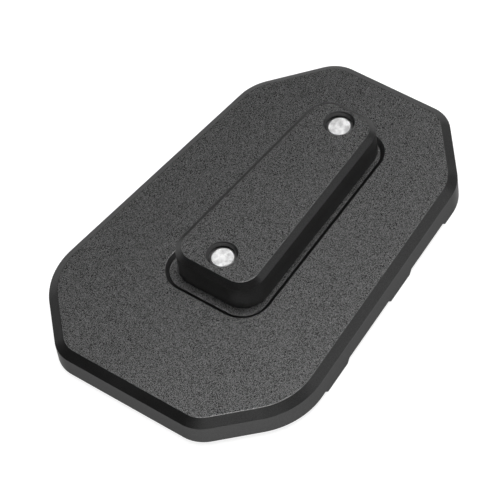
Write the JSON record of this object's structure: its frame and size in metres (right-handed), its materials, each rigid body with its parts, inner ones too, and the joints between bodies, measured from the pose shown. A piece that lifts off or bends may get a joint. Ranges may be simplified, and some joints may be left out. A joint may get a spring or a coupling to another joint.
{
  "type": "brake pedal extension",
  "caption": "Wide tapered tread plate with cut corners and a clamp block screwed to its mounting face, which enlarges the tread of a motorcycle's rear brake pedal.",
  "frame": {"origin": "on the surface that the tread bars rest on, below the middle of the part's box", "axes": "+X along the plate towards its narrow end, +Z from the tread bars to the mounting face and the clamp block"},
  "size_m": [0.086, 0.0586, 0.0119],
  "materials": {
    "blasted_plate": "grit-blasted and black anodised, matte",
    "blasted_block": "grit-blasted and black anodised, matte",
    "screw_steel": "bright zinc-plated steel"
  },
  "bodies": {
    "root": {"tread_plate": "blasted_plate", "clamp_block": "blasted_block", "wide_end_screw": "screw_steel", "narrow_end_screw": "screw_steel"}
  },
  "joints": []
}
